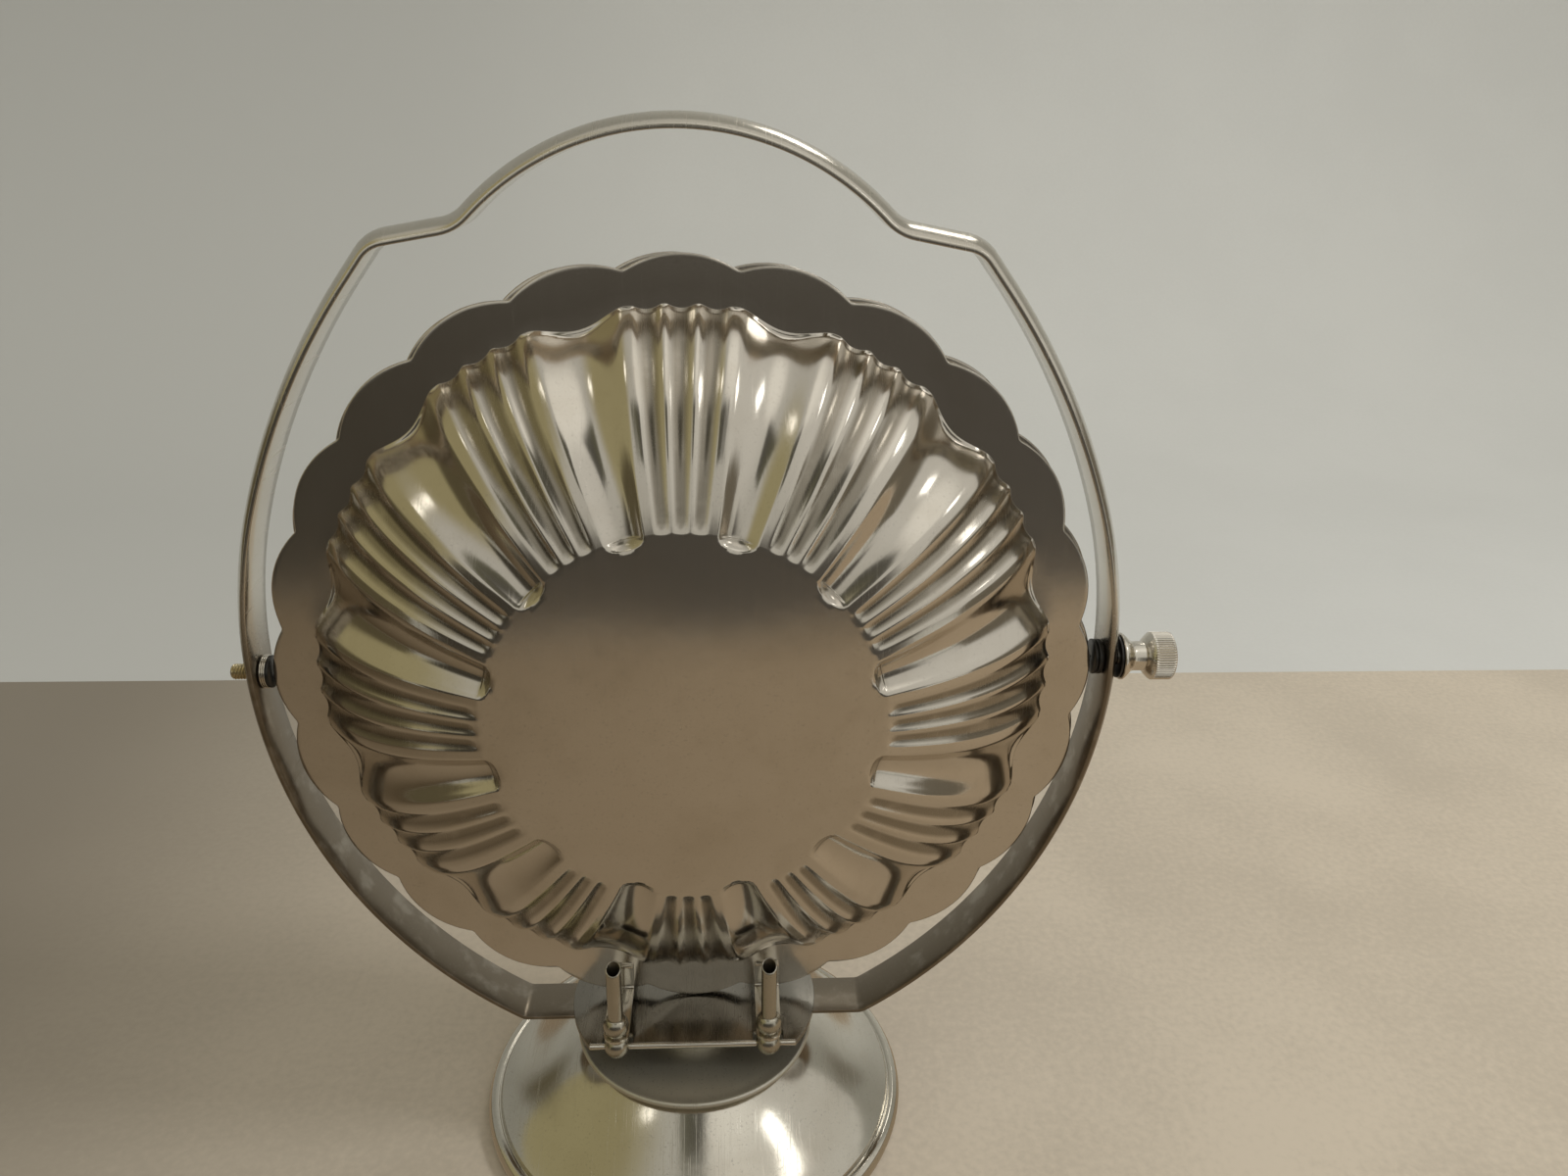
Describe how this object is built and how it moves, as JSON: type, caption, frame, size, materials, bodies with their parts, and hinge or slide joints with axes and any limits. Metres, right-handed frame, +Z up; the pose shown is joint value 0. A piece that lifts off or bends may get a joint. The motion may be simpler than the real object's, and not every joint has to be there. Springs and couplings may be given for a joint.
{
  "type": "folding biscuit box",
  "caption": "Folding biscuit box: fluted dishes closed face to face inside a loop handle on a round foot, each hinged at the bottom to fold down flat.",
  "frame": {"origin": "centre of the foot's underside, on the table", "axes": "+Z up through the dishes' centre, +X along the hinge rods towards the thumb screw, -Y out of the front dish"},
  "size_m": [0.2307, 0.117, 0.2609],
  "materials": {
    "shell_plate": "silver plate, polished, lightly worn and tarnished",
    "silver_plate": "silver plate, satin polish with wear",
    "bright_nickel": "bright nickel plate",
    "dark_washer": "dark washer, matte",
    "brass": "dull tarnished brass"
  },
  "bodies": {
    "stand": {"foot": "silver_plate", "top_disc": "silver_plate", "neck": "silver_plate", "centre_stud": "brass", "centre_washer": "brass", "centre_nut": "brass", "handle_frame": "silver_plate", "hinge_plate": "silver_plate", "front_rod": "bright_nickel", "back_rod": "bright_nickel", "left_bolt": "brass", "left_collar": "bright_nickel", "left_pad": "dark_washer", "right_pad": "dark_washer", "thumb_washer": "dark_washer"},
    "front_dish": {"front_shell": "shell_plate", "front_knuckle_l": "bright_nickel", "front_knuckle_r": "bright_nickel", "front_bracket_l": "silver_plate", "front_bracket_r": "silver_plate", "front_collar_l": "bright_nickel", "front_collar_r": "bright_nickel", "front_arm_l": "bright_nickel", "front_arm_r": "bright_nickel"},
    "back_dish": {"back_shell": "shell_plate", "back_knuckle_l": "bright_nickel", "back_knuckle_r": "bright_nickel", "back_bracket_l": "silver_plate", "back_bracket_r": "silver_plate", "back_collar_l": "bright_nickel", "back_collar_r": "bright_nickel", "back_arm_l": "bright_nickel", "back_arm_r": "bright_nickel"},
    "thumb_screw": {"thumb_shank": "bright_nickel", "thumb_knob": "bright_nickel"}
  },
  "joints": [
    {"name": "front_dish_hinge", "type": "hinge", "parent": "stand", "child": "front_dish", "pos_m": [0, -0.0195, 0.0324], "axis": [1, 0, 0], "range_deg": [0, 90]},
    {"name": "back_dish_hinge", "type": "hinge", "parent": "stand", "child": "back_dish", "pos_m": [0, 0.0195, 0.0324], "axis": [-1, 0, 0], "range_deg": [0, 90]},
    {"name": "thumb_screw_turn", "type": "hinge", "parent": "stand", "child": "thumb_screw", "pos_m": [0.11, 0, 0.1363], "axis": [1, 0, 0], "range_deg": [0, 360]}
  ]
}
